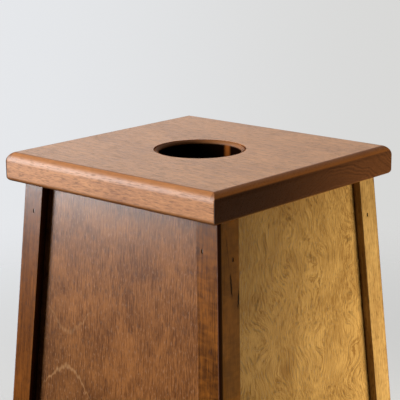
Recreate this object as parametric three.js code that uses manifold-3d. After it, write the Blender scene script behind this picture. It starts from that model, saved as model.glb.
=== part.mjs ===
// A small tapered wooden drop box: four leaning corner posts, four thin plywood panels set back
// between them, hidden rails, a plywood floor, and a thick lift-off lid with a round drop hole.
// Millimetres, +Z up, front towards -Y. The origin is on the table under the middle of the box.

import * as THREE from "three";
import { mergeVertices } from "three/addons/utils/BufferGeometryUtils.js";
import Module from "manifold-3d";

// Overall
const BODY_HEIGHT = 236;
const BODY_TOP_WIDTH = 159.2; // over the posts, along X, under the lid
const BODY_TOP_DEPTH = 147.3; // over the posts, along Y, under the lid
const LEAN = 0.0688; // how far each face moves out for each millimetre down
const GLUE_GAP = 0.1; // left between leaning faces that are glued together

// Lid: a solid board with the grain along X
const LID_WIDTH = 170;
const LID_DEPTH = 166.7;
const LID_THICKNESS = 18;
const LID_TOP_ROUND = 6.35; // radius of the upper edge
const LID_TOP_INSET = 4.1; // where the flat top meets that round, in a crisp line
const LID_BOTTOM_ROUND = 2.8;
const HOLE_DIAMETER = 50.8;
const HOLE_TOP_ROUND = 3.175; // radius of the hole's upper rim
const HOLE_ROUND_STEPS = 6;
const HOLE_EASE = 0.8; // chamfer on its lower rim
const HOLE_SIDES = 72;

// Strips under the lid that hold it in place on the box
const CLEAT_SECTION = 9;
const CLEAT_PLAY = 1.2;

// Posts
const POST_WIDTH = 17; // along X
const POST_DEPTH = 16.6; // along Y
const POST_CHAMFER = 1.5; // on the outer corner
const GROOVE_DEPTH = 2.4;
const GROOVE_PLAY = 0.1;

// Panels
const PLY = 3;
const SETBACK = 5.5; // from the outer faces of the posts
const PANEL_FOOT = 10; // the panels and lower rails stop this far above the table

// Rails behind the panels, and the floor that lies on the lower ones
const RAIL_INNER = 17; // inner face of a rail, from the outer face of the posts
const TOP_RAIL_HEIGHT = 35;
const BOTTOM_RAIL_HEIGHT = 30;
const FLOOR_THICKNESS = 6;
const FLOOR_PLAY = 0.3;

// Brads: rectangular wire with a T head, driven through the posts into the ends of the rails
const BRAD_LENGTH = 25;
const BRAD_WIDTH = 1;
const BRAD_WIRE_HEIGHT = 1.2;
const BRAD_HEAD_HEIGHT = 2;
const BRAD_HEAD_THICKNESS = 0.6;
const BRAD_POINT = 2;
const BRAD_POINT_HEIGHT = 0.3;
const BRAD_SET = 0.5; // head below the face of the wood
const BRAD_HOLE_PLAY = 0.1;
const SIDE_RAIL_BRAD_DROP = 18.5; // below the top of the rail, for brads that enter a side rail
const CROSS_RAIL_BRAD_DROP = 23.3; // the same for brads that enter a front or back rail
const SIDE_RAIL_BRAD_INSET = 11.5; // in from the side face of the post
const CROSS_RAIL_BRAD_INSET = 11.2; // in from the front or back face of the post
const HAND_DRIVEN = { front_left: -1.3, front_right: 1.2 }; // the two front ones stray from 11.5

const CORNERS = [
  { name: "front_left", sx: -1, sy: -1 },
  { name: "front_right", sx: 1, sy: -1 },
  { name: "back_right", sx: 1, sy: 1 },
  { name: "back_left", sx: -1, sy: 1 },
];
const FLOOR_Z = PANEL_FOOT + BOTTOM_RAIL_HEIGHT;
const RAILS = [
  { level: "top", low: BODY_HEIGHT - TOP_RAIL_HEIGHT, high: BODY_HEIGHT },
  { level: "bottom", low: PANEL_FOOT, high: FLOOR_Z },
];

const COLOURS = {
  lid: 0xb98a68,
  post: 0x8a5a38,
  panel: 0x946240,
  rail: 0xc9a878,
  floor: 0xb08a5c,
  cleat: 0xbf9a6c,
  brad: 0x8d8f92,
};

const wasm = await Module();
wasm.setup();

// ---- solids and meshes ----

// A closed three.js geometry as a solid that can be joined and cut.
function toSolid(geometry) {
  const bare = geometry.clone();
  bare.deleteAttribute("normal");
  bare.deleteAttribute("uv");
  const merged = mergeVertices(bare, 1e-4);
  return new wasm.Manifold(
    new wasm.Mesh({
      numProp: 3,
      vertProperties: merged.attributes.position.array,
      triVerts: new Uint32Array(merged.index.array),
    }),
  );
}

function toGeometry(solid) {
  const { vertProperties, triVerts } = solid.getMesh();
  const geometry = new THREE.BufferGeometry();
  geometry.setAttribute("position", new THREE.BufferAttribute(vertProperties, 3));
  geometry.setIndex(new THREE.BufferAttribute(triVerts, 1));
  const faceted = geometry.toNonIndexed();
  faceted.computeVertexNormals();
  return faceted;
}

function cut(geometry, tools) {
  const solid = tools.reduce((left, tool) => left.subtract(toSolid(tool)), toSolid(geometry));
  return toGeometry(solid);
}

function makeMesh(name, geometry, colour, roughness = 0.5, metalness = 0) {
  const material = new THREE.MeshStandardMaterial({ color: colour, roughness, metalness });
  const mesh = new THREE.Mesh(geometry, material);
  mesh.name = name;
  return mesh;
}

// ---- the leaning shape of the box ----

// Half the width and half the depth over the posts, at a height above the table.
const outerX = (z) => BODY_TOP_WIDTH / 2 + LEAN * (BODY_HEIGHT - z);
const outerY = (z) => BODY_TOP_DEPTH / 2 + LEAN * (BODY_HEIGHT - z);

// A block between two heights whose four upright faces are given as functions of height.
function leaningBlock(low, high, { x0, x1, y0, y1 }) {
  const geometry = new THREE.BoxGeometry(1, 1, 1);
  const points = geometry.attributes.position;
  for (let i = 0; i < points.count; i += 1) {
    const z = points.getZ(i) < 0 ? low : high;
    const x = points.getX(i) < 0 ? x0(z) : x1(z);
    const y = points.getY(i) < 0 ? y0(z) : y1(z);
    points.setXYZ(i, x, y, z);
  }
  geometry.computeVertexNormals();
  return geometry;
}

// The faces of a piece that lies along the front or back (sy = -1 or 1), between insets near and
// far from the outer face, and stops short of each side by the inset end.
function crossPiece(sy, near, far, end) {
  const a = (z) => sy * (outerY(z) - near);
  const b = (z) => sy * (outerY(z) - far);
  return {
    x0: (z) => end - outerX(z),
    x1: (z) => outerX(z) - end,
    y0: sy < 0 ? a : b,
    y1: sy < 0 ? b : a,
  };
}

// The same for a piece that lies along the left or right side (sx = -1 or 1).
function sidePiece(sx, near, far, end) {
  const a = (z) => sx * (outerX(z) - near);
  const b = (z) => sx * (outerX(z) - far);
  return {
    x0: sx < 0 ? a : b,
    x1: sx < 0 ? b : a,
    y0: (z) => end - outerY(z),
    y1: (z) => outerY(z) - end,
  };
}

// ---- brads ----

// Side view of a brad along its length from the head, or of its hole when play is given.
function bradOutline(play, mouth) {
  const head = BRAD_HEAD_HEIGHT / 2 + play;
  const wire = BRAD_WIRE_HEIGHT / 2 + play;
  const tip = BRAD_POINT_HEIGHT / 2 + play;
  const headEnd = BRAD_HEAD_THICKNESS + play;
  const end = BRAD_LENGTH + play;
  const upper = [
    [-mouth, head],
    [headEnd, head],
    [headEnd, wire],
    [end - BRAD_POINT, wire],
    [end, tip],
  ];
  const lower = upper.map(([along, height]) => [along, -height]).reverse();
  return new THREE.Shape([...upper, ...lower].map(([along, height]) => new THREE.Vector2(along, height)));
}

function bradGeometry(play = 0, mouth = 0) {
  const width = BRAD_WIDTH + 2 * play;
  const geometry = new THREE.ExtrudeGeometry(bradOutline(play, mouth), {
    depth: width,
    bevelEnabled: false,
  });
  return geometry.translate(0, 0, -width / 2);
}

// Where each brad sits: into a side rail it runs along Y, into a front or back rail along X.
function bradPlaces() {
  const places = [];
  const up = new THREE.Vector3(0, 0, 1);
  for (const rail of RAILS) {
    for (const { name, sx, sy } of CORNERS) {
      for (const kind of ["side_rail", "cross_rail"]) {
        const alongY = kind === "side_rail";
        const z = rail.high - (alongY ? SIDE_RAIL_BRAD_DROP : CROSS_RAIL_BRAD_DROP);
        const stray = rail.level === "top" ? (HAND_DRIVEN[name] ?? 0) : 0;
        const inset = alongY ? SIDE_RAIL_BRAD_INSET + stray : CROSS_RAIL_BRAD_INSET;
        const x = sx * (outerX(z) - (alongY ? inset : BRAD_SET));
        const y = sy * (outerY(z) - (alongY ? BRAD_SET : inset));
        const inwards = alongY ? new THREE.Vector3(0, -sy, 0) : new THREE.Vector3(-sx, 0, 0);
        const across = new THREE.Vector3().crossVectors(inwards, up);
        const matrix = new THREE.Matrix4().makeBasis(inwards, up, across).setPosition(x, y, z);
        places.push({ name: `brad_${name}_${kind}_${rail.level}`, corner: name, sx, sy, kind, rail, matrix });
      }
    }
  }
  return places;
}

const BRADS = bradPlaces();

// The hole that a brad leaves, open at the face of the post.
const bradHole = ({ matrix }) => bradGeometry(BRAD_HOLE_PLAY, BRAD_SET + 1).applyMatrix4(matrix);

function brads() {
  return BRADS.map(({ name, matrix }) => {
    const mesh = makeMesh(name, bradGeometry(), COLOURS.brad, 0.4, 1);
    mesh.applyMatrix4(matrix);
    return mesh;
  });
}

// ---- posts, panels, rails and floor ----

// Plan of a post: inset from the side face and inset from the front or back face, with a groove
// for the front or back panel and one for the side panel.
function postPlan() {
  const near = SETBACK - GROOVE_PLAY;
  const far = SETBACK + PLY + GROOVE_PLAY;
  return [
    [POST_CHAMFER, 0],
    [POST_WIDTH, 0],
    [POST_WIDTH, near],
    [POST_WIDTH - GROOVE_DEPTH, near],
    [POST_WIDTH - GROOVE_DEPTH, far],
    [POST_WIDTH, far],
    [POST_WIDTH, POST_DEPTH],
    [far, POST_DEPTH],
    [far, POST_DEPTH - GROOVE_DEPTH],
    [near, POST_DEPTH - GROOVE_DEPTH],
    [near, POST_DEPTH],
    [0, POST_DEPTH],
    [0, POST_CHAMFER],
  ];
}

function posts() {
  return CORNERS.map(({ name, sx, sy }) => {
    const corners = postPlan().map(
      ([u, v]) => new THREE.Vector2(sx * (outerX(0) - u), sy * (outerY(0) - v)),
    );
    const lean = new THREE.Matrix4().set(
      1, 0, -sx * LEAN, 0,
      0, 1, -sy * LEAN, 0,
      0, 0, 1, 0,
      0, 0, 0, 1,
    );
    const blank = new THREE.ExtrudeGeometry(new THREE.Shape(corners), {
      depth: BODY_HEIGHT,
      bevelEnabled: false,
    }).applyMatrix4(lean);
    const holes = BRADS.filter((brad) => brad.corner === name).map(bradHole);
    return makeMesh(`post_${name}`, cut(blank, holes), COLOURS.post, 0.45);
  });
}

function panels() {
  const tongue = GROOVE_DEPTH - GROOVE_PLAY;
  const make = (name, faces) =>
    makeMesh(name, leaningBlock(PANEL_FOOT, BODY_HEIGHT, faces), COLOURS.panel, 0.5);
  const cross = (sy) => crossPiece(sy, SETBACK, SETBACK + PLY, POST_WIDTH - tongue);
  const side = (sx) => sidePiece(sx, SETBACK, SETBACK + PLY, POST_DEPTH - tongue);
  return [
    make("panel_front", cross(-1)),
    make("panel_back", cross(1)),
    make("panel_left", side(-1)),
    make("panel_right", side(1)),
  ];
}

function rails() {
  const near = SETBACK + PLY + GLUE_GAP;
  const made = [];
  for (const rail of RAILS) {
    const holesFor = (kind, matches) =>
      BRADS.filter((brad) => brad.rail === rail && brad.kind === kind && matches(brad)).map(bradHole);
    for (const [word, sy] of [["front", -1], ["back", 1]]) {
      const faces = crossPiece(sy, near, RAIL_INNER, POST_WIDTH + GLUE_GAP);
      const holes = holesFor("cross_rail", (brad) => brad.sy === sy);
      const geometry = cut(leaningBlock(rail.low, rail.high, faces), holes);
      made.push(makeMesh(`${rail.level}_rail_${word}`, geometry, COLOURS.rail, 0.7));
    }
    for (const [word, sx] of [["left", -1], ["right", 1]]) {
      const faces = sidePiece(sx, near, RAIL_INNER, POST_DEPTH + GLUE_GAP);
      const holes = holesFor("side_rail", (brad) => brad.sx === sx);
      const geometry = cut(leaningBlock(rail.low, rail.high, faces), holes);
      made.push(makeMesh(`${rail.level}_rail_${word}`, geometry, COLOURS.rail, 0.7));
    }
  }
  return made;
}

// The floor lies on the lower rails and is notched round the four posts.
function floorPanel() {
  const top = FLOOR_Z + FLOOR_THICKNESS;
  const wide = outerX(top) - SETBACK - PLY - FLOOR_PLAY;
  const deep = outerY(top) - SETBACK - PLY - FLOOR_PLAY;
  const notchX = outerX(top) - POST_WIDTH - FLOOR_PLAY;
  const notchY = outerY(top) - POST_DEPTH - FLOOR_PLAY;
  const quarter = [
    [wide, notchY],
    [notchX, notchY],
    [notchX, deep],
  ];
  const outline = [
    ...quarter,
    ...quarter.map(([x, y]) => [-x, y]).reverse(),
    ...quarter.map(([x, y]) => [-x, -y]),
    ...quarter.map(([x, y]) => [x, -y]).reverse(),
  ];
  const shape = new THREE.Shape(outline.map(([x, y]) => new THREE.Vector2(x, y)));
  const geometry = new THREE.ExtrudeGeometry(shape, { depth: FLOOR_THICKNESS, bevelEnabled: false });
  const mesh = makeMesh("floor_panel", geometry, COLOURS.floor, 0.7);
  mesh.position.z = FLOOR_Z;
  return mesh;
}

// ---- lid ----

// Section of the lid across a width: small rounds below, large rounds above that stop in a
// crisp line where the flat top cuts across them.
function lidSection(width) {
  const half = width / 2;
  const r = LID_TOP_ROUND;
  const reach = r - LID_TOP_INSET;
  const angle = Math.asin(reach / r);
  const centreY = LID_THICKNESS - r * Math.cos(angle);
  const s = LID_BOTTOM_ROUND;
  const shape = new THREE.Shape();
  shape.moveTo(-half + s, 0);
  shape.lineTo(half - s, 0);
  shape.absarc(half - s, s, s, -Math.PI / 2, 0, false);
  shape.absarc(half - r, centreY, r, 0, Math.PI / 2 - angle, false);
  shape.absarc(-half + r, centreY, r, Math.PI / 2 + angle, Math.PI, false);
  shape.absarc(-half + s, s, s, Math.PI, 1.5 * Math.PI, false);
  return shape;
}

// That section as a long bar with its height along Z, centred on the origin, running along Y.
function lidBar(width, length) {
  const bar = new THREE.ExtrudeGeometry(lidSection(width), {
    depth: length,
    curveSegments: 10,
    bevelEnabled: false,
  });
  return bar.translate(0, 0, -length / 2).rotateX(Math.PI / 2);
}

// What the hole takes out of the lid: it flares at the lower rim in a chamfer and at the upper
// rim in a quarter round.
function dropHole() {
  const r = HOLE_DIAMETER / 2;
  const e = HOLE_EASE;
  const round = [];
  for (let i = 0; i <= HOLE_ROUND_STEPS; i += 1) {
    const turn = ((Math.PI / 2) * i) / HOLE_ROUND_STEPS;
    const out = HOLE_TOP_ROUND * (1 - Math.cos(turn));
    round.push([r + out, LID_THICKNESS - HOLE_TOP_ROUND * (1 - Math.sin(turn))]);
  }
  const profile = [
    [0, -1],
    [r + e + 1, -1],
    [r, e],
    ...round,
    [r + HOLE_TOP_ROUND, LID_THICKNESS + 1],
    [0, LID_THICKNESS + 1],
  ].map(([x, y]) => new THREE.Vector2(x, y));
  return new THREE.LatheGeometry(profile, HOLE_SIDES).rotateX(Math.PI / 2);
}

// Two crossed bars meet in a board whose rounded edges are mitred at the corners.
function lidBoard() {
  const length = LID_WIDTH + LID_DEPTH;
  const acrossX = toSolid(lidBar(LID_WIDTH, length));
  const acrossY = toSolid(lidBar(LID_DEPTH, length).rotateZ(Math.PI / 2));
  const board = acrossX.intersect(acrossY).subtract(toSolid(dropHole()));
  const mesh = makeMesh("lid_board", toGeometry(board), COLOURS.lid, 0.35);
  mesh.position.z = BODY_HEIGHT;
  return mesh;
}

function lidCleats() {
  const x = outerX(BODY_HEIGHT) - RAIL_INNER - CLEAT_PLAY;
  const y = outerY(BODY_HEIGHT) - RAIL_INNER - CLEAT_PLAY;
  const long = new THREE.BoxGeometry(2 * x, CLEAT_SECTION, CLEAT_SECTION);
  const short = new THREE.BoxGeometry(
    CLEAT_SECTION,
    2 * (y - CLEAT_SECTION - GLUE_GAP),
    CLEAT_SECTION,
  );
  const place = (name, geometry, cx, cy) => {
    const mesh = makeMesh(name, geometry, COLOURS.cleat, 0.7);
    mesh.position.set(cx, cy, BODY_HEIGHT - CLEAT_SECTION / 2);
    return mesh;
  };
  return [
    place("lid_cleat_front", long, 0, -y + CLEAT_SECTION / 2),
    place("lid_cleat_back", long, 0, y - CLEAT_SECTION / 2),
    place("lid_cleat_left", short, -x + CLEAT_SECTION / 2, 0),
    place("lid_cleat_right", short, x - CLEAT_SECTION / 2, 0),
  ];
}

const body = new THREE.Group();
body.add(...posts(), ...panels(), ...rails(), floorPanel(), ...brads());

const lid = new THREE.Group();
lid.add(lidBoard(), ...lidCleats());

const dropBox = new THREE.Group();
dropBox.add(body, lid);

export default dropBox;
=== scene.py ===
"""A small tapered wooden drop box: leaning corner posts, thin ply panels, hidden rails, a floor and a
lift-off lid with a round drop hole. Metres, +Z up, front towards -Y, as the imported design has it."""

import math

import bmesh
import bpy
from mathutils import Matrix, Vector


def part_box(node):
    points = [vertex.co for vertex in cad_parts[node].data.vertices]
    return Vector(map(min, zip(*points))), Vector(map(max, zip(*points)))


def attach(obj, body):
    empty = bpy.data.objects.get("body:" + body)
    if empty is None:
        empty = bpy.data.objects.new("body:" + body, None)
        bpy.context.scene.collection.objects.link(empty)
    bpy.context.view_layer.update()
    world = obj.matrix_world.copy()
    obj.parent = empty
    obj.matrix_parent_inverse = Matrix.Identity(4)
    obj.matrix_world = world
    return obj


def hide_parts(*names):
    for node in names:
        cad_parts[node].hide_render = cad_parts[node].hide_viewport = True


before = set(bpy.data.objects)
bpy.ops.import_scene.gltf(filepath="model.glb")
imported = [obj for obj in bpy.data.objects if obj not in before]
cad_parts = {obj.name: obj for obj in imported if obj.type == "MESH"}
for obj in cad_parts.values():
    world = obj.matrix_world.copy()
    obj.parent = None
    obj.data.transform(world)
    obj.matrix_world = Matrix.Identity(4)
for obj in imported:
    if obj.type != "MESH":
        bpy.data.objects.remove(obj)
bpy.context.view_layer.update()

MM = 0.001
BODY, LID = "box_body", "lid"
CORNERS = {"front_left": (-1, -1), "front_right": (1, -1), "back_right": (1, 1), "back_left": (-1, 1)}
SIDES = {"front": (0, -1), "back": (0, 1), "left": (-1, 0), "right": (1, 0)}

# Joinery that the frame's boxes don't give
CHAMFER = 1.5 * MM
GROOVE_DEPTH = 2.4 * MM
GROOVE_PLAY = 0.1 * MM
EASED = 0.35 * MM
PLY_EASED = 0.15 * MM
RAIL_EASED = 0.6 * MM
CLEAT_EASED = 0.8 * MM
FLOOR_EASED = 0.3 * MM
BRAD_HOLE_PLAY = 0.1 * MM

# The lid's section
LID_TOP_ROUND = 6.35 * MM
LID_TOP_INSET = 4.1 * MM
LID_BOTTOM_ROUND = 2.8 * MM
HOLE_RADIUS = 25.4 * MM
HOLE_TOP_ROUND = 3.175 * MM
HOLE_EASE = 0.8 * MM
ROUND_STEPS = 14
HOLE_SIDES = 128

# The camera, in lid widths from the middle of the lid's top, and in degrees
CAMERA_AZIMUTH = 41.9024
CAMERA_DISTANCE = 4.7591
CAMERA_RISE = 0.99363
CAMERA_HEADING = 41.9148
CAMERA_PITCH = -13.9851
CAMERA_ROLL = -0.5037
CAMERA_LENS = 120.7986


# ---- reading the frame ----


def end_boxes(node):
    """The lowest and highest corners of a node's bottom end, then of its top end."""
    points = [v.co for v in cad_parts[node].data.vertices]
    low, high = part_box(node)
    found = []
    for height in (low.z, high.z):
        near = [p for p in points if abs(p.z - height) < 0.01 * MM]
        found.append(Vector(map(min, zip(*near))))
        found.append(Vector(map(max, zip(*near))))
    return found


POST_LOW, POST_HIGH = end_boxes("post_front_right")[:2]
POST_TOP_HIGH = end_boxes("post_front_right")[3]
HEIGHT = POST_TOP_HIGH.z - POST_LOW.z
LEAN = (POST_HIGH.x - POST_TOP_HIGH.x) / HEIGHT
POST_WIDTH = POST_HIGH.x - POST_LOW.x
POST_DEPTH = POST_HIGH.y - POST_LOW.y
FOOT_X = POST_HIGH.x
FOOT_Y = -POST_LOW.y


# ---- modelling by hand ----


def edit(piece):
    """Opens one piece in edit mode with nothing else selected."""
    bpy.ops.object.select_all(action="DESELECT")
    bpy.context.view_layer.objects.active = piece
    piece.select_set(True)
    bpy.ops.object.mode_set(mode="EDIT")


def leave_edit():
    bpy.ops.object.mode_set(mode="OBJECT")


def pick(piece, kind, test):
    """Selects only the faces, edges or verts of the open piece that pass the test."""
    bpy.ops.mesh.select_mode(type={"faces": "FACE", "edges": "EDGE", "verts": "VERT"}[kind])
    bpy.ops.mesh.select_all(action="DESELECT")
    shape = bmesh.from_edit_mesh(piece.data)
    for item in getattr(shape, kind):
        if test(item):
            item.select_set(True)
    shape.select_flush_mode()
    bmesh.update_edit_mesh(piece.data)


def middle(face):
    return face.calc_center_median()


def settle(name):
    """Names the new active piece and puts its place into its mesh."""
    piece = bpy.context.active_object
    piece.name = name
    piece.data.name = name
    bpy.ops.object.transform_apply(location=True, rotation=True, scale=True)
    return piece


def add_cube(name, low, high):
    bpy.ops.object.select_all(action="DESELECT")
    bpy.ops.mesh.primitive_cube_add(size=1, location=(low + high) / 2, scale=high - low)
    return settle(name)


def add_plane(name, low, high):
    """A flat rectangle at the height of its low corner."""
    place = Vector(((low.x + high.x) / 2, (low.y + high.y) / 2, low.z))
    bpy.ops.object.select_all(action="DESELECT")
    bpy.ops.mesh.primitive_plane_add(size=1, location=place)
    bpy.context.active_object.scale = (high.x - low.x, high.y - low.y, 1)
    return settle(name)


def finish_shape(piece):
    """Merges doubles and turns every face outwards."""
    edit(piece)
    bpy.ops.mesh.select_all(action="SELECT")
    bpy.ops.mesh.remove_doubles(threshold=0.002 * MM)
    bpy.ops.mesh.normals_make_consistent(inside=False)
    leave_edit()


def apply_modifier(piece, kind, **settings):
    bpy.ops.object.select_all(action="DESELECT")
    bpy.context.view_layer.objects.active = piece
    piece.select_set(True)
    modifier = piece.modifiers.new(kind.title(), kind)
    for key, value in settings.items():
        setattr(modifier, key, value)
    bpy.ops.object.modifier_apply(modifier=modifier.name)


def ease_edges(piece, width, segments=3):
    apply_modifier(
        piece, "BEVEL", width=width, segments=segments, limit_method="ANGLE",
        angle_limit=math.radians(35), use_clamp_overlap=True,
    )


def cut_away(piece, cutter):
    apply_modifier(piece, "BOOLEAN", operation="DIFFERENCE", object=cutter, solver="EXACT")
    bpy.data.objects.remove(cutter)


def smooth_by_angle(piece, angle=30):
    bpy.ops.object.select_all(action="DESELECT")
    bpy.context.view_layer.objects.active = piece
    piece.select_set(True)
    bpy.ops.object.shade_smooth_by_angle(angle=math.radians(angle))


def extrude(move):
    bpy.ops.mesh.extrude_region_move(TRANSFORM_OT_translate={"value": move})


def grow_cap(steps):
    """Draws the selected cap up through a list of (rise, x scale, y scale) about the Z axis."""
    for rise, scale_x, scale_y in steps:
        extrude((0, 0, rise))
        bpy.ops.transform.resize(value=(scale_x, scale_y, 1), center_override=(0, 0, 0))


def leaning_block(name, node):
    """A block whose foot and top are where the node has them."""
    foot_low, foot_high, top_low, top_high = end_boxes(node)
    piece = add_cube(name, foot_low, Vector((foot_high.x, foot_high.y, top_high.z)))
    foot_size = foot_high - foot_low
    top_size = top_high - top_low
    foot_middle = (foot_low + foot_high) / 2
    top_middle = (top_low + top_high) / 2
    shift = top_middle - foot_middle
    edit(piece)
    pick(piece, "faces", lambda face: face.normal.z > 0.5)
    bpy.ops.transform.resize(
        value=(top_size.x / foot_size.x, top_size.y / foot_size.y, 1),
        center_override=(foot_middle.x, foot_middle.y, top_high.z),
    )
    bpy.ops.transform.translate(value=(shift.x, shift.y, 0))
    leave_edit()
    return piece


def hand_over(piece, node, body, slot, *materials):
    """Gives a finished piece its materials and its body, and hides the node that it stands for."""
    finish_shape(piece)
    smooth_by_angle(piece)
    apply_modifier(piece, "WEIGHTED_NORMAL", keep_sharp=True)
    piece.data.materials.clear()
    for material in materials:
        piece.data.materials.append(material)
    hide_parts(node)
    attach(piece, body)
    return piece


# ---- materials ----


class Signal:
    """A socket of a finish. Arithmetic on it adds Math nodes."""

    def __init__(self, maker, socket):
        self.maker = maker
        self.socket = socket

    def output(self, name):
        return Signal(self.maker, self.socket.node.outputs[name])

    def calculate(self, operation, *values):
        return self.maker.node("ShaderNodeMath", {"operation": operation}, dict(enumerate(values)))

    def either(self, other):
        """The larger of two masks."""
        return self.calculate("MAXIMUM", self, other)

    def __add__(self, other):
        return self.calculate("ADD", self, other)

    def __sub__(self, other):
        return self.calculate("SUBTRACT", self, other)

    def __rsub__(self, other):
        return self.calculate("SUBTRACT", other, self)

    def __mul__(self, other):
        return self.calculate("MULTIPLY", self, other)

    def __truediv__(self, other):
        return self.calculate("DIVIDE", self, other)

    def __pow__(self, other):
        return self.calculate("POWER", self, other)

    def __abs__(self):
        return self.calculate("ABSOLUTE", self)

    __radd__ = __add__
    __rmul__ = __mul__


class Finish:
    """A node tree being built. Every node comes from node()."""

    def __init__(self, name, owner=None):
        self.owner = owner or bpy.data.materials.new(name)
        self.owner.use_nodes = True
        self.tree = self.owner.node_tree
        self.tree.nodes.clear()

    def node(self, kind, settings=None, inputs=None, output=0):
        made = self.tree.nodes.new(kind)
        for key, value in (settings or {}).items():
            setattr(made, key, value)
        for key, value in (inputs or {}).items():
            if isinstance(value, Signal):
                self.tree.links.new(value.socket, made.inputs[key])
            else:
                made.inputs[key].default_value = value
        return Signal(self, made.outputs[output]) if made.outputs else None

    def vector(self, x, y, z):
        return self.node("ShaderNodeCombineXYZ", {}, {"X": x, "Y": y, "Z": z})

    def noise(self, place, detail=2.0, roughness=0.5, distortion=0.0):
        """A cloudy pattern about one unit across, from 0 to 1 with its middle at 0.5."""
        inputs = {"Vector": place, "Scale": 1.0, "Detail": detail}
        inputs.update({"Roughness": roughness, "Distortion": distortion})
        return self.node("ShaderNodeTexNoise", {}, inputs)

    def step(self, value, low, high):
        """0 below low, 1 above high, smooth between."""
        inputs = {"Value": value, "From Min": low, "From Max": high}
        return self.node("ShaderNodeMapRange", {"interpolation_type": "SMOOTHSTEP"}, inputs)

    def mix(self, share, first, second):
        settings = {"data_type": "RGBA", "clamp_factor": True}
        return self.node("ShaderNodeMix", settings, {0: share, 6: first, 7: second}, 2)

    def scale_colour(self, colour, factor):
        return self.node("ShaderNodeVectorMath", {"operation": "SCALE"}, {0: colour, "Scale": factor})

    def position(self):
        """X, Y and Z on the piece, in millimetres."""
        place = self.node("ShaderNodeTexCoord", output="Object")
        scaled = self.node("ShaderNodeVectorMath", {"operation": "SCALE"}, {0: place, "Scale": 1 / MM})
        x = self.node("ShaderNodeSeparateXYZ", {}, {0: scaled})
        return x, x.output("Y"), x.output("Z")

    def surface(self, colour, roughness, height, depth, bare=None, **uniform):
        """Ends the tree in a shader. Depth is the relief in metres of a height of 1. Bare is the share
        of wood without varnish, which has no gloss."""
        bump = self.node("ShaderNodeBump", {}, {"Strength": 1.0, "Distance": depth, "Height": height})
        inputs = {"Base Color": colour, "Roughness": roughness, "Normal": bump}
        inputs.update({key.replace("_", " "): value for key, value in uniform.items()})
        shader = self.node("ShaderNodeBsdfPrincipled", {}, inputs)
        if bare is not None:
            matt = {"Base Color": colour, "Roughness": 1.0, "Specular IOR Level": 0.0}
            dull = self.node("ShaderNodeBsdfPrincipled", {}, matt)
            shader = self.node("ShaderNodeMixShader", {}, {0: bare, 1: shader, 2: dull})
        self.node("ShaderNodeOutputMaterial", {}, {"Surface": shader})
        return self.owner


def colour(red, green, blue):
    return (red, green, blue, 1.0)


# Stained and bare woods, each from its darkest to its lightest grain
LID_STAIN = (colour(0.40, 0.135, 0.034), colour(0.74, 0.300, 0.094))
LID_END_STAIN = (colour(0.020, 0.007, 0.0025), colour(0.075, 0.027, 0.009))
# Painted shade down the bore, then the painted patch of light on its wall
BORE_SHADE_AND_LIGHT = (colour(0.008, 0.0025, 0.001), colour(0.33, 0.09, 0.016))
REDDISH = (colour(0.12, 0.032, 0.003), colour(0.285, 0.082, 0.009))
DARK = (colour(0.10, 0.027, 0.002), colour(0.32, 0.097, 0.010))
GOLDEN = (colour(0.36, 0.19, 0.055), colour(0.64, 0.385, 0.130))
REDDISH_PLY = (colour(0.155, 0.047, 0.009), colour(0.405, 0.144, 0.035))
GOLDEN_PLY = (colour(0.28, 0.135, 0.032), colour(0.64, 0.37, 0.115))
PLY_CORE = (colour(0.16, 0.085, 0.04), colour(0.42, 0.27, 0.14))
BARE_PINE = (colour(0.40, 0.24, 0.12), colour(0.66, 0.48, 0.29))
BARE_PLY = (colour(0.45, 0.30, 0.17), colour(0.68, 0.51, 0.33))

# Single tints within a finish
# Painted sheen: the pale grey-tan that the lid's top face is mixed towards
TOP_SHEEN_TINT = colour(0.86, 0.66, 0.42)
# Painted shade on the upper rounds of the lid's long edges
UPPER_ROUND_SHADE = colour(0.48, 0.170, 0.042)
# Painted shade on the lower edge and small round under the lid
UNDER_ROUND_SHADE = colour(0.13, 0.034, 0.004)
# Painted shade on the rounds over the lid's ends and on the hole's rim
SHADED_ROUND = colour(0.27, 0.082, 0.010)
# Painted shade in the crease round the lid's top
CREASE_SHADE = colour(0.27, 0.085, 0.020)
# Painted shade on the posts' outer chamfers
CHAMFER_SHADE = colour(0.125, 0.028, 0.002)
OLIVE = colour(0.20, 0.10, 0.026)
MINERAL = colour(0.010, 0.006, 0.003)
FLAME_LINE = colour(0.60, 0.30, 0.12)
# Painted glints: the pale specks on the front and back panels
GLINT_SPECK = colour(0.56, 0.28, 0.14)
# Painted shade on the side panels towards the front and the top
FALLOFF_SHADE = colour(0.045, 0.008, 0.0)
CLEAN_STEEL = colour(0.42, 0.40, 0.38)
STEEL_BLOOM = colour(0.12, 0.065, 0.035)

VARNISH_RELIEF = 0.02 * MM
LID_RELIEF = 0.014 * MM
BARE_RELIEF = 0.08 * MM
STEEL_RELIEF = 0.03 * MM


def fibres(finish, across, depth, along, width, length, shift=0.0):
    """Streaks that run along the grain, of about that width and length in millimetres."""
    place = finish.vector(across / width + shift, depth / width, along / length)
    return finish.noise(place, detail=3.0, roughness=0.6)


def pores(finish, across, depth, along, shift=0.0):
    """Short dark dashes along the grain."""
    place = finish.vector(across / 0.8 + shift, depth / 0.8, along / 5.0)
    return finish.step(finish.noise(place, detail=2.0), 0.54, 0.64)


def centred(pattern, strength):
    """A pattern around 0.5 as an offset around 0."""
    return (pattern - 0.5) * strength


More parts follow.
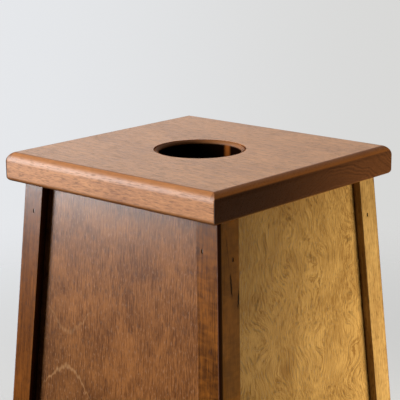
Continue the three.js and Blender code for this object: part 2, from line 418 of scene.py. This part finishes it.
def lid_long_grain(finish, x, y, z, growth, hair, pore, top_face):
    """Face and long edges: fine hair and short flecks, strongest on the top face, which also gets a
    painted sheen.
    """
    ring = finish.noise(finish.vector(growth / 1.9, 0.0, x / 120), detail=2.0)
    cloud = finish.noise(finish.vector(x / 34, y / 20, z / 20), detail=2.5)
    fleck = fibres(finish, y, z, x, 1.3, 4, 9.0)
    grain = centred(hair, 1.9) + centred(fleck, 2.2)
    tone = 0.5 + centred(ring, 0.9) + centred(cloud, 1.2) + grain * (0.62 + top_face * 0.4)
    face = finish.scale_colour(finish.mix(tone, *LID_STAIN), 1 - pore * 0.3)
    # painted sheen: the top face is mixed a little towards a pale grey-tan tint
    return finish.mix(top_face * 0.18, face, TOP_SHEEN_TINT), fleck


def lid_end_grain(finish, x, y, z, growth):
    """Dark ends with the growth rings cut across, with painted light that makes them lighter towards
    the back.
    """
    ring = finish.noise(finish.vector(growth / 1.2, 0.0, 0.0), detail=3.0)
    speck = finish.noise(finish.vector(x / 2, y / 0.5, z / 0.5), detail=2.0)
    end = finish.mix(0.5 + centred(ring, 1.6) + centred(speck, 1.2), *LID_END_STAIN)
    # painted light: the end is scaled up towards the back
    return finish.scale_colour(end, 1.05 + finish.step(y, -60, 75) * 1.9)


def lid_rounds(finish, face, x, y, z, lid, rim):
    """Paints shade on the lid's rounded edges, on the hole's rim and in the crease round the top:
    darker, browner bands where the rounds turn from the light.
    """
    half_x, half_y, top = lid
    inset = LID_TOP_INSET / MM
    over_ends = finish.step(abs(x), half_x - inset, half_x - inset + 0.4)
    over_ends = over_ends * finish.step(z, top - 4.5, top - 3.0)
    over_edges = finish.step(abs(y), half_y - inset - 0.2, half_y - inset + 0.2)
    over_edges = over_edges * finish.step(z, top - 3.4, top - 1.6)
    # the lower edge and its small round, which get painted shade
    under = 1 - finish.step(z, top - 17.7, top - 14.2)
    # painted shade on the upper rounds of the front and back edges
    face = finish.mix(over_edges * 0.6, face, UPPER_ROUND_SHADE)
    face = finish.mix(under * 0.9, face, UNDER_ROUND_SHADE)
    # painted shade on the rounds over the ends and on the hole's rim
    face = finish.mix(rim.either(over_ends) * 0.8, face, SHADED_ROUND)
    # painted shade: a dark line where the flat top meets its rounds
    crease_x = 1 - finish.step(abs(abs(x) - (half_x - inset)), 0.15, 0.7)
    crease_y = 1 - finish.step(abs(abs(y) - (half_y - inset)), 0.15, 0.7)
    crease = finish.step(z, top - 0.8, top - 0.1) * crease_x.either(crease_y)
    return finish.mix(crease * 0.75, face, CREASE_SHADE)


def lid_hole(finish, painted, x, from_middle, rim, wall):
    """The hole's wall is painted nearly black, partly for its end grain and partly as painted shade
    down the bore, with one painted patch of light on it.
    """
    end_grain = finish.step(abs(x) / from_middle, 0.35, 0.95)
    painted = finish.scale_colour(painted, 1 - rim * (1 - wall) * end_grain * 0.6)
    # painted light: a narrow upright patch on the wall where light falls
    lit_patch = 1 - finish.step(abs(x - 0.5), 0.6, 3.4)
    return finish.mix(wall, painted, finish.mix(lit_patch, *BORE_SHADE_AND_LIGHT))


def lid_finish():
    """Solid board with fine grain along X. Its ends drink the stain and are much darker."""
    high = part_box("lid_board")[1]
    lid = half_x, half_y, top = high.x / MM, high.y / MM, high.z / MM
    radius = HOLE_RADIUS / MM
    finish = Finish("stained lid board")
    x, y, z = finish.position()
    warp = centred(finish.noise(finish.vector(x / 70, y / 25, z / 25)), 14)
    growth = ((y - 30) ** 2 + (z - top + 75) ** 2) ** 0.5 + warp
    hair = fibres(finish, y, z, x, 0.7, 12)
    pore = pores(finish, y, z, x)
    # the flat top face, which gets the painted sheen and a stronger grain
    top_face = finish.step(z, top - 0.4, top - 0.1)
    from_middle = (x * x + y * y) ** 0.5
    rim = 1 - finish.step(from_middle, radius + 1.4, radius + 3.3)
    wall = 1 - finish.step(from_middle, radius + 0.05, radius + 0.5)
    face, fleck = lid_long_grain(finish, x, y, z, growth, hair, pore, top_face)
    face = lid_rounds(finish, face, x, y, z, lid, rim)
    ends = finish.step(abs(x), half_x - 1.0, half_x - 0.4)
    painted = finish.mix(ends, face, lid_end_grain(finish, x, y, z, growth))
    painted = lid_hole(finish, painted, x, from_middle, rim, wall)
    rounded = finish.step(abs(y), half_y - 4.4, half_y - 3.6)
    corner = finish.step(abs(y), half_y - 1.3, half_y - 0.7)
    corner = corner * finish.step(abs(x), half_x - 1.3, half_x - 0.7)
    dulled = rounded * 0.17 + corner * 0.4 + rim * 0.3
    roughness = 0.28 + centred(hair, 0.06) + pore * 0.1 + dulled
    height = hair * 0.35 - pore * 0.7 + fleck * 0.2
    return finish.surface(painted, roughness, height, LID_RELIEF, bare=wall)


def post_coordinates(finish, sx, sy):
    """Inset from the side face, inset from the front or back face, and height, in millimetres."""
    x, y, z = finish.position()
    inset_side = FOOT_X / MM - LEAN * z - x * sx
    inset_face = FOOT_Y / MM - LEAN * z - y * sy
    return inset_side, inset_face, z


def streak(finish, offset, drop, start, end, wide):
    """A dark mineral streak between two (offset, drop) points, pointed at both ends."""
    slope = (end[0] - start[0]) / (end[1] - start[1])
    half = (end[1] - start[1]) / 2
    centre = (start[1] + end[1]) / 2
    wobble = centred(finish.noise(finish.vector(0.0, 0.0, drop / 3.0), detail=2.0), 1.6)
    aside = offset - start[0] - (drop - start[1]) * slope + wobble
    along = (drop - centre) / half
    reach = ((aside / wide) ** 2 + along * along) ** 0.5
    return 1 - finish.step(reach, 0.55, 1.0)


def mineral_streaks(finish, wood, side, face, drop):
    """The olive side face, with painted light that makes it lighter towards the foot, and its dark
    mineral streaks.
    """
    thin = streak(finish, face, drop, (4.8, 4), (8.4, 30), 0.5)
    upper = streak(finish, face, drop, (8.6, 28), (10.2, 46), 0.9)
    lower = streak(finish, face, drop, (16.4, 39), (14.8, 53), 0.9)
    on_side = 1 - finish.step(side, 0.4, 0.8)
    # painted light: the olive tint is scaled up towards the foot
    olive = finish.scale_colour(finish.mix(0.5, wood, OLIVE), 0.72 + finish.step(drop, 15, 165) * 0.45)
    wood = finish.mix(on_side * 0.85, wood, olive)
    return finish.mix(upper.either(lower).either(thin * 0.6) * on_side * 0.9, wood, MINERAL)


def post_finish(name, stain, figure, shift, recess_shade=0.72, streaks=False):
    """Solid post with the grain up its length, with painted shade on its chamfer and on its inner faces
    in the recesses. Figure is the strength of the cross grain, and streaks adds the olive side face
    with its painted light and its mineral streaks."""
    sx, sy = CORNERS[name]
    finish = Finish("stained post " + name.replace("_", " "))
    side, face, z = post_coordinates(finish, sx, sy)
    drop = HEIGHT / MM - z
    warp = centred(finish.noise(finish.vector(side / 16, face / 16, z / 55 + shift)), 7)
    growth = ((side + 30 + shift) ** 2 + (face - 12) ** 2) ** 0.5 + warp
    ring = finish.noise(finish.vector(growth / 1.5, 0.0, z / 90), detail=2.0)
    hair = fibres(finish, side, face, z, 0.9, 20, shift)
    curl = finish.noise(finish.vector(side / 9, face / 9, z / 4 + shift), detail=2.0, distortion=0.6)
    cloud = finish.noise(finish.vector(side / 14, face / 14, z / 30 + shift), detail=2.0)
    pore = pores(finish, side, face, z, shift)
    tone = 0.5 + centred(ring, 1.4) + centred(hair, 1.5) + centred(curl, figure) + centred(cloud, 1.4)
    wood = finish.scale_colour(finish.mix(tone, *stain), 1 - pore * 0.35)
    inner_side = finish.step(side, POST_WIDTH / MM - 0.5, POST_WIDTH / MM - 0.15)
    inner_face = finish.step(face, POST_DEPTH / MM - 0.5, POST_DEPTH / MM - 0.15)
    # painted shade on the inner faces in the recesses beside the panels
    wood = finish.scale_colour(wood, 1 - inner_side.either(inner_face) * recess_shade)
    # painted shade on the outer chamfer, which faces away from the lamps
    chamfered = 1 - finish.step(side + face, 1.7, 2.1)
    wood = finish.mix(chamfered * 0.85, wood, CHAMFER_SHADE)
    if streaks:
        wood = mineral_streaks(finish, wood, side, face, drop)
    roughness = 0.20 + centred(hair, 0.06) + pore * 0.03 + chamfered * 0.4
    height = hair * 0.35 - pore * 0.7
    return finish.surface(wood, roughness, height, VARNISH_RELIEF, Specular_IOR_Level=0.38)


def panel_coordinates(finish, side):
    """Across the panel, in from its outer face, and height, in millimetres."""
    sx, sy = SIDES[side]
    foot_low, foot_high = end_boxes("panel_" + side)[:2]
    x, y, z = finish.position()
    if sx:
        foot = foot_high.x if sx > 0 else -foot_low.x
        across, out = y * sx, x * sx
    else:
        foot = foot_high.y if sy > 0 else -foot_low.y
        across, out = x * -sy, y * sy
    return across, (foot + LEAN * foot_low.z) / MM - LEAN * z - out, z


def ply_edges(finish, face, depth, across, z):
    """The middle layer of the ply, which shows on the panel's edges."""
    core = finish.step(depth, 0.85, 1.0) * (1 - finish.step(depth, 2.0, 2.15))
    speck = finish.noise(finish.vector(across / 0.8, depth / 0.3, z / 0.8), detail=2.0)
    return finish.mix(core, face, finish.mix(0.5 + centred(speck, 2.0), *PLY_CORE))


def flame_lines(finish, across, drop):
    """Jagged pale lines of one cathedral figure: the branches of a saddle-shaped pattern."""
    centre = across + 44
    jag = centred(finish.noise(finish.vector(across / 2.6, 0.0, drop / 30), detail=3.0), 8)
    wide = centred(finish.noise(finish.vector(across / 18, 0.0, drop / 18), detail=1.0), 8)
    aside = centre * 1.2
    saddle = (drop - 101.5 + jag + wide) ** 2 - aside * aside
    line = 1 - finish.step(abs(saddle - 130), 10, 55)
    reach = 1 - finish.step(abs(centre), 15, 25)
    strength = finish.step(drop, 66, 76) * 0.2 + finish.step(drop, 98, 108) * 0.22
    return line * reach * strength


def flame_panel_finish(side):
    """Reddish ply face with soft dark blotches, fine pores, pale specks painted as glints, faint flame
    lines, and painted shade towards the bottom and one side.
    """
    finish = Finish("stained ply " + side)
    across, depth, z = panel_coordinates(finish, side)
    drop = HEIGHT / MM - z
    hair = fibres(finish, across, depth, z, 0.9, 14)
    fine = fibres(finish, across, depth, z, 0.6, 6, 3.0)
    cloud = finish.noise(finish.vector(across / 26, depth / 50, z / 38), detail=2.5, distortion=0.8)
    blot = finish.noise(finish.vector(across / 13 + 7, depth / 50, z / 15), detail=2.0, distortion=1.2)
    pore = pores(finish, across, depth, z)
    speck = finish.noise(finish.vector(across / 0.9 + 31, depth / 0.9, z / 3.0), detail=2.0)
    # painted glints: pale specks mixed into the face
    fleck = finish.step(speck, 0.56, 0.70)
    tone = 0.5 + centred(hair, 2.4) + centred(fine, 2.0) + centred(cloud, 1.3) + centred(blot, 0.8)
    # painted shade: darker towards the bottom and one side
    shade_falloff = finish.step(drop - across, 95, 165)
    face = finish.scale_colour(finish.mix(tone, *REDDISH_PLY), 1 - shade_falloff * 0.24)
    face = finish.mix(fleck * 0.35, face, GLINT_SPECK)
    face = finish.mix(flame_lines(finish, across, drop), face, FLAME_LINE)
    face = finish.scale_colour(face, 1 - pore * 0.3)
    painted = ply_edges(finish, face, depth, across, z)
    roughness = 0.21 + centred(hair, 0.04) + pore * 0.03
    height = hair * 0.35 + fine * 0.2 - pore * 0.7
    return finish.surface(painted, roughness, height, VARNISH_RELIEF)


def curly_panel_finish(side):
    """Golden ply face with a curly figure, with painted shade that darkens it towards the front and the
    top.
    """
    finish = Finish("stained ply " + side)
    across, depth, z = panel_coordinates(finish, side)
    drop = HEIGHT / MM - z
    swirl = centred(finish.noise(finish.vector(across / 34, depth / 50, z / 42), detail=1.0), 44)
    lift = centred(finish.noise(finish.vector(across / 30 + 5, depth / 50, z / 34), detail=1.0), 36)
    ripple = centred(finish.noise(finish.vector(across / 6, depth / 50, z / 7), detail=2.0), 3.2)
    flow = across + swirl + ripple
    rise = z + lift
    curl = finish.noise(finish.vector(flow / 1.1, depth / 9, rise / 12), detail=3.0, roughness=0.6)
    thin = 1 - finish.step(abs(curl - 0.44), 0.0, 0.04)
    hair = fibres(finish, flow * 0.6 + across, depth, rise, 0.8, 5)
    cloud = finish.noise(finish.vector(across / 22, depth / 50, z / 30 + 4), detail=2.5, distortion=0.8)
    pore = pores(finish, flow * 0.6, depth, rise)
    tone = 0.62 + centred(curl, 0.9) + centred(hair, 2.4) + centred(cloud, 1.2) - thin * 0.42
    # painted shade: darker towards the front and the top
    shade_falloff = 1 - finish.step(across + drop * 0.35, -65, 65)
    face = finish.mix(shade_falloff * 0.42, finish.mix(tone, *GOLDEN_PLY), FALLOFF_SHADE)
    face = finish.scale_colour(face, 1 - pore * 0.3)
    painted = ply_edges(finish, face, depth, across, z)
    roughness = 0.22 + centred(hair, 0.14) + pore * 0.1
    height = hair * 0.35 + curl * 0.2 - pore * 0.7
    return finish.surface(painted, roughness, height, VARNISH_RELIEF)


def bare_wood_finish(name, along_x, wood):
    """Bare sanded wood for what is hidden inside."""
    finish = Finish(name)
    x, y, z = finish.position()
    along, across = (x, y) if along_x else (y, x)
    growth = across + z * 0.6 + centred(finish.noise(finish.vector(along / 50, across / 12, z / 12)), 8)
    ring = finish.noise(finish.vector(growth / 2.2, 0.0, along / 90), detail=2.0)
    hair = fibres(finish, across, z, along, 0.6, 18)
    tone = 0.5 + centred(ring, 2.0) + centred(hair, 0.8)
    painted = finish.mix(tone, *wood)
    roughness = 0.68 + centred(hair, 0.2)
    return finish.surface(painted, roughness, hair * 0.5 + ring * 0.3, BARE_RELIEF)


def steel_finish():
    """Dull steel wire with a brownish bloom."""
    finish = Finish("dull steel")
    x, y, z = finish.position()
    speck = finish.noise(finish.vector(x / 0.5, y / 0.5, z / 0.5), detail=3.0)
    bloom = finish.step(speck, 0.5, 0.68)
    painted = finish.mix(bloom, CLEAN_STEEL, STEEL_BLOOM)
    metallic = 1 - bloom * 0.7
    return finish.surface(painted, 0.38 + bloom * 0.3, speck, STEEL_RELIEF, Metallic=metallic)


# ---- pieces ----


def lid_board(material):
    """Grown from its underside: small rounds, the edge, then large rounds that stop in a crease."""
    low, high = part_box("lid_board")
    profile = []
    for i in range(ROUND_STEPS // 2 + 1):
        turn = math.radians(90) * i / (ROUND_STEPS // 2)
        inset = LID_BOTTOM_ROUND * (1 - math.sin(turn))
        profile.append((inset, LID_BOTTOM_ROUND * (1 - math.cos(turn))))
    last_turn = math.radians(90) - math.asin((LID_TOP_ROUND - LID_TOP_INSET) / LID_TOP_ROUND)
    arc_foot = high.z - low.z - LID_TOP_ROUND * math.sin(last_turn)
    for i in range(ROUND_STEPS + 1):
        turn = last_turn * i / ROUND_STEPS
        rise = arc_foot + LID_TOP_ROUND * math.sin(turn)
        profile.append((LID_TOP_ROUND * (1 - math.cos(turn)), rise))
    start = Vector((low.x + profile[0][0], low.y + profile[0][0], low.z))
    piece = add_plane("solid_lid", start, Vector((-start.x, -start.y, low.z)))
    edit(piece)
    bpy.ops.mesh.select_all(action="SELECT")
    steps = []
    for (inset, height), (next_inset, next_height) in zip(profile, profile[1:]):
        scale_x = (high.x - next_inset) / (high.x - inset)
        scale_y = (high.y - next_inset) / (high.y - inset)
        steps.append((next_height - height, scale_x, scale_y))
    grow_cap(steps)
    leave_edit()
    finish_shape(piece)
    cut_away(piece, hole_cutter(low.z, high.z))
    return hand_over(piece, "lid_board", LID, "lid", material)


def flare(radius, direction, count):
    """Steps that open the end of the hole cutter in a quarter round, and carry it on past the lid."""
    steps = []
    for i in range(count):
        turn, next_turn = (math.radians(90) * k / count for k in (i, i + 1))
        before = HOLE_RADIUS + radius * (1 - math.cos(turn))
        after = HOLE_RADIUS + radius * (1 - math.cos(next_turn))
        rise = radius * (math.sin(next_turn) - math.sin(turn))
        steps.append((direction * rise, after / before, after / before))
    steps.append((direction * MM, 1.0, 1.0))
    return steps


def hole_cutter(low, high):
    """A round bar whose upper end flares for the rounded rim and whose lower end flares a little."""
    foot = low + HOLE_EASE
    top = high - HOLE_TOP_ROUND
    bpy.ops.object.select_all(action="DESELECT")
    bpy.ops.mesh.primitive_cylinder_add(
        vertices=HOLE_SIDES, radius=HOLE_RADIUS, depth=top - foot, location=(0, 0, (foot + top) / 2),
    )
    cutter = settle("hole_cutter")
    for direction, radius, count in ((1, HOLE_TOP_ROUND, 12), (-1, HOLE_EASE, 4)):
        edit(cutter)
        pick(cutter, "faces", lambda face: face.normal.z * direction > 0.9)
        grow_cap(flare(radius, direction, count))
        leave_edit()
    finish_shape(cutter)
    return cutter


def cleat(side, material):
    """A square strip under the lid."""
    node = "lid_cleat_" + side
    piece = add_cube("cleat_" + side, *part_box(node))
    ease_edges(piece, CLEAT_EASED)
    return hand_over(piece, node, LID, "cleat", material)


def bisect_along(piece, point, normal):
    bpy.ops.mesh.select_all(action="SELECT")
    bpy.ops.mesh.bisect(plane_co=point, plane_no=normal)


def post(name, material):
    """The plan is cut out of a flat rectangle, then drawn up along the lean."""
    sx, sy = CORNERS[name]
    foot_low, foot_high = end_boxes("post_" + name)[:2]
    face_low, face_high = panel_faces("front" if sy < 0 else "back")
    side_low, side_high = panel_faces("left" if sx < 0 else "right")
    piece = add_plane("corner_post_" + name, foot_low, foot_high)
    groove_x = sx * (FOOT_X - POST_WIDTH + GROOVE_DEPTH)
    groove_y = sy * (FOOT_Y - POST_DEPTH + GROOVE_DEPTH)
    edit(piece)
    for x in (groove_x, sx * side_low, sx * side_high):
        bisect_along(piece, (x, 0, 0), (1, 0, 0))
    for y in (groove_y, sy * face_low, sy * face_high):
        bisect_along(piece, (0, y, 0), (0, 1, 0))

    def in_groove(face):
        place = middle(face)
        u, v = place.x * sx, place.y * sy
        in_face_groove = u < groove_x * sx and face_low < v < face_high
        in_side_groove = v < groove_y * sy and side_low < u < side_high
        return in_face_groove or in_side_groove

    pick(piece, "faces", in_groove)
    bpy.ops.mesh.delete(type="FACE")
    bpy.ops.mesh.select_all(action="SELECT")
    bpy.ops.mesh.dissolve_limited(angle_limit=math.radians(1))
    corner = Vector((sx * FOOT_X, sy * FOOT_Y))
    pick(piece, "verts", lambda vert: (vert.co.xy - corner).length < 0.01 * MM)
    bpy.ops.mesh.bevel(offset=CHAMFER, segments=1, affect="VERTICES")
    bpy.ops.mesh.select_mode(type="FACE")
    bpy.ops.mesh.select_all(action="SELECT")
    extrude((-sx * LEAN * HEIGHT, -sy * LEAN * HEIGHT, HEIGHT))
    leave_edit()
    finish_shape(piece)
    ease_edges(piece, EASED)
    drill(piece, lambda brad: name in brad)
    return hand_over(piece, "post_" + name, BODY, "post", material)


def panel_faces(side):
    """How far a panel's inner and outer faces are from the middle at the foot of the box, with play."""
    sx = SIDES[side][0]
    foot_low, foot_high = end_boxes("panel_" + side)[:2]
    drop = LEAN * foot_low.z
    near, far = (foot_low.x, foot_high.x) if sx else (foot_low.y, foot_high.y)
    near, far = sorted((abs(near), abs(far)))
    return near + drop - GROOVE_PLAY, far + drop + GROOVE_PLAY


def panel(side, material):
    node = "panel_" + side
    piece = leaning_block("ply_panel_" + side, node)
    ease_edges(piece, PLY_EASED, 2)
    return hand_over(piece, node, BODY, "panel", material)


def rail(level, side, material):
    node = level + "_rail_" + side
    piece = leaning_block("inner_rail_" + level + "_" + side, node)
    ease_edges(piece, RAIL_EASED)
    kind = "cross_rail" if side in ("front", "back") else "side_rail"
    drill(piece, lambda brad: kind in brad and level in brad and side in brad)
    return hand_over(piece, node, BODY, "rail", material)


def floor_sheet(material):
    """Cut out of a flat rectangle round the four posts, then given its thickness."""
    low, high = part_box("floor_panel")
    widths = sorted({round(abs(v.co.x), 6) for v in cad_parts["floor_panel"].data.vertices})
    depths = sorted({round(abs(v.co.y), 6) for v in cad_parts["floor_panel"].data.vertices})
    piece = add_plane("floor_sheet", low, high)
    edit(piece)
    for sign in (-1, 1):
        bisect_along(piece, (sign * widths[0], 0, 0), (1, 0, 0))
        bisect_along(piece, (0, sign * depths[0], 0), (0, 1, 0))

    def in_corner(face):
        place = middle(face)
        return abs(place.x) > widths[0] and abs(place.y) > depths[0]

    pick(piece, "faces", in_corner)
    bpy.ops.mesh.delete(type="FACE")
    bpy.ops.mesh.select_all(action="SELECT")
    bpy.ops.mesh.dissolve_limited(angle_limit=math.radians(1))
    bpy.ops.mesh.select_all(action="SELECT")
    extrude((0, 0, high.z - low.z))
    leave_edit()
    finish_shape(piece)
    ease_edges(piece, FLOOR_EASED)
    return hand_over(piece, "floor_panel", BODY, "floor", material)


# ---- brads ----

BRAD_LENGTH = 25 * MM
BRAD_WIDTH = 1 * MM
BRAD_WIRE = 1.2 * MM
BRAD_HEAD = 2 * MM
BRAD_HEAD_THICKNESS = 0.6 * MM
BRAD_POINT = 2 * MM
BRAD_TIP = 0.3 * MM
BRAD_EASED = 0.1 * MM
HOLE_MOUTH = 2 * MM


def brad_shape(name, play=0.0, mouth=0.0):
    """A brad that points along +Y with its head's outer face at the origin, or the hole it leaves."""
    half = BRAD_WIDTH / 2 + play
    head = BRAD_HEAD / 2 + play
    wire = BRAD_WIRE / 2 + play
    neck = BRAD_HEAD_THICKNESS + play
    piece = add_cube(name, Vector((-half, -mouth, -head)), Vector((half, neck, head)))
    edit(piece)
    pick(piece, "faces", lambda face: face.normal.y > 0.5)
    bpy.ops.mesh.extrude_region_move()
    bpy.ops.transform.resize(value=(0.999, 1, wire / head), center_override=(0, neck, 0))
    extrude((0, BRAD_LENGTH - BRAD_POINT - neck, 0))
    extrude((0, BRAD_POINT + play, 0))
    tip = (BRAD_TIP / 2 + play) / wire
    bpy.ops.transform.resize(value=(1, 1, tip), center_override=(0, BRAD_LENGTH + play, 0))
    leave_edit()
    finish_shape(piece)
    return piece


def brad_nodes():
    return sorted(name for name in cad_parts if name.startswith("brad_"))


def brad_placement(node):
    """The turn and move that put a brad where the node is."""
    low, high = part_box(node)
    centre = (low + high) / 2
    if high.y - low.y > high.x - low.x:
        front = centre.y < 0
        start = Vector((centre.x, low.y if front else high.y, centre.z))
        turn = 0 if front else 180
    else:
        left = centre.x < 0
        start = Vector((low.x if left else high.x, centre.y, centre.z))
        turn = -90 if left else 90
    return Matrix.Translation(start) @ Matrix.Rotation(math.radians(turn), 4, "Z")


def copy_at(pattern, name, placement):
    """A copy with a mesh of its own, whose place is in its mesh."""
    piece = bpy.data.objects.new(name, pattern.data.copy())
    piece.data.name = name
    piece.data.transform(placement)
    bpy.context.scene.collection.objects.link(piece)
    return piece


def drill(piece, wanted):
    """Cuts the holes of the wanted brads out of a post or a rail."""
    for node in filter(wanted, brad_nodes()):
        cutter = copy_at(HOLE_PATTERN, "hole_" + node, brad_placement(node))
        cut_away(piece, cutter)


def brads(material):
    pattern = brad_shape("brad_pattern")
    ease_edges(pattern, BRAD_EASED, 2)
    for node in brad_nodes():
        piece = copy_at(pattern, "wire_" + node, brad_placement(node))
        hand_over(piece, node, BODY, "brad", material)
    bpy.data.objects.remove(pattern)


# ---- stage, light and camera ----

FLOOR_RADIUS = 2.4
FLOOR_FADE = (320, 820)
FLOOR_TINT = colour(0.73, 0.735, 0.74)
BACKDROP_RADIUS = 12
BACKDROP_FADE = 2.2
BACKDROP_LEFT = colour(0.79, 0.805, 0.83)
BACKDROP_RIGHT = colour(0.69, 0.69, 0.68)
ROOM_DARK = colour(0.03, 0.03, 0.03)
ROOM_DIM = colour(0.32, 0.31, 0.30)
ROOM_BRIGHT = colour(0.90, 0.95, 1.02)
COOL = (0.90, 0.95, 1.0)
SOFT = (1.0, 0.95, 0.88)
WARM = (1.0, 0.93, 0.74)


def floor_of_stage():
    """A round pale floor whose rim melts into the backdrop."""
    bpy.ops.object.select_all(action="DESELECT")
    bpy.ops.mesh.primitive_circle_add(vertices=96, radius=FLOOR_RADIUS, fill_type="NGON")
    floor = settle("stage_floor")
    finish = Finish("pale floor")
    x, y = finish.position()[:2]
    reach = (x * x + y * y) ** 0.5
    paper = finish.node("ShaderNodeBsdfDiffuse", {}, {"Color": FLOOR_TINT})
    clear = finish.node("ShaderNodeBsdfTransparent")
    fade = finish.step(reach, *FLOOR_FADE)
    mixed = finish.node("ShaderNodeMixShader", {}, {0: fade, 1: paper, 2: clear})
    finish.node("ShaderNodeOutputMaterial", {}, {"Surface": mixed})
    floor.data.materials.append(finish.owner)
    floor.visible_glossy = False
    floor.visible_diffuse = False
    floor.visible_shadow = False


def backdrop():
    """A pale surround that only the camera sees, so that the light stays as the lamps give it."""
    bpy.ops.object.select_all(action="DESELECT")
    bpy.ops.mesh.primitive_uv_sphere_add(segments=48, ring_count=24, radius=BACKDROP_RADIUS)
    surround = settle("stage_surround")
    finish = Finish("pale surround")
    x, y = finish.position()[:2]
    heading = math.radians(CAMERA_HEADING)
    rightwards = (x * math.cos(heading) + y * math.sin(heading)) * MM
    share = finish.step(rightwards, -BACKDROP_FADE, BACKDROP_FADE)
    pale = finish.mix(share, BACKDROP_LEFT, BACKDROP_RIGHT)
    glow = finish.node("ShaderNodeEmission", {}, {"Color": pale, "Strength": 1.0})
    finish.node("ShaderNodeOutputMaterial", {}, {"Surface": glow})
    surround.data.materials.append(finish.owner)
    for kind in ("diffuse", "glossy", "transmission", "volume_scatter", "shadow"):
        setattr(surround, "visible_" + kind, False)


def soft_light(name, place, aim, width, height, tint, radiance, glossy=True):
    """A rectangular soft box of that brightness, which the camera doesn't see."""
    data = bpy.data.lights.new(name, "AREA")
    data.shape = "RECTANGLE"
    data.size = width
    data.size_y = height
    data.color = tint
    data.energy = radiance * math.pi * width * height
    lamp = bpy.data.objects.new(name, data)
    bpy.context.scene.collection.objects.link(lamp)
    lamp.location = place
    lamp.rotation_euler = (Vector(aim) - Vector(place)).to_track_quat("-Z", "Y").to_euler()
    lamp.visible_camera = False
    lamp.visible_glossy = glossy


def room_light():
    """Dim all round, brighter from behind the box on the left, dark from the near corner."""
    world = bpy.data.worlds.new("room")
    bpy.context.scene.world = world
    finish = Finish("room", world)
    direction = finish.node("ShaderNodeTexCoord", output="Generated")
    x = finish.node("ShaderNodeSeparateXYZ", {}, {0: direction})
    behind = x * -0.95 + x.output("Y") * 0.31
    above = finish.step(x.output("Z"), -0.02, 0.10)
    dim = finish.mix(finish.step(behind, -0.3, 0.6) * above, ROOM_DARK, ROOM_DIM)
    tint = finish.mix(finish.step(behind, 0.70, 1.0) * above, dim, ROOM_BRIGHT)
    sky = finish.node("ShaderNodeBackground", {}, {"Color": tint, "Strength": 1.0})
    finish.node("ShaderNodeOutputWorld", {}, {"Surface": sky})


def lights():
    """A tall window in front on the left, a small warm lamp low on the right, a soft one overhead."""
    soft_light(
        "window", place=(-1.635, -1.472, 0.72), aim=(0, 0, 0.30),
        width=0.855, height=1.6, tint=COOL, radiance=18.0,
    )
    soft_light(
        "warm_side", place=(0.28, 0.145, 0.115), aim=(0.08, 0.03, 0.11),
        width=0.15, height=0.15, tint=WARM, radiance=11.6, glossy=False,
    )
    soft_light(
        "overhead", place=(-0.3, 0.8, 1.9), aim=(0, 0, 0.2),
        width=1.1, height=1.1, tint=SOFT, radiance=4.0, glossy=False,
    )
    room_light()


def camera():
    low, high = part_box("lid_board")
    width = high.x - low.x
    azimuth = math.radians(CAMERA_AZIMUTH)
    data = bpy.data.cameras.new("camera")
    data.sensor_width = 36
    data.lens = CAMERA_LENS
    seat = bpy.data.objects.new("camera", data)
    bpy.context.scene.collection.objects.link(seat)
    distance = CAMERA_DISTANCE * width
    height = high.z + CAMERA_RISE * width
    place = Vector((distance * math.sin(azimuth), -distance * math.cos(azimuth), height))
    turn = Matrix.Rotation(math.radians(CAMERA_HEADING), 4, "Z")
    tilt = Matrix.Rotation(math.radians(90 + CAMERA_PITCH), 4, "X")
    roll = Matrix.Rotation(math.radians(CAMERA_ROLL), 4, "Z")
    seat.matrix_world = Matrix.Translation(place) @ turn @ tilt @ roll
    bpy.context.scene.camera = seat


# ---- the box ----

HOLE_PATTERN = brad_shape("hole_pattern", BRAD_HOLE_PLAY, HOLE_MOUTH)

post("front_left", post_finish("front_left", REDDISH, figure=0.5, shift=0.0))
post("front_right", post_finish("front_right", DARK, figure=1.6, shift=11.0, streaks=True))
post("back_right", post_finish("back_right", GOLDEN, figure=0.6, shift=23.0, recess_shade=0.25))
post("back_left", post_finish("back_left", REDDISH, figure=0.5, shift=37.0))
panel("front", flame_panel_finish("front"))
panel("back", flame_panel_finish("back"))
panel("left", curly_panel_finish("left"))
panel("right", curly_panel_finish("right"))
pine_along_x = bare_wood_finish("bare pine along x", True, BARE_PINE)
pine_along_y = bare_wood_finish("bare pine along y", False, BARE_PINE)
for side in SIDES:
    pine = pine_along_x if side in ("front", "back") else pine_along_y
    rail("top", side, pine)
    rail("bottom", side, pine)
    cleat(side, pine)
floor_sheet(bare_wood_finish("bare ply", True, BARE_PLY))
lid_board(lid_finish())
brads(steel_finish())
bpy.data.objects.remove(HOLE_PATTERN)

floor_of_stage()
backdrop()
lights()
camera()
bpy.context.scene.view_settings.view_transform = "Standard"
bpy.context.scene.view_settings.look = "None"

bpy.context.view_layer.update()
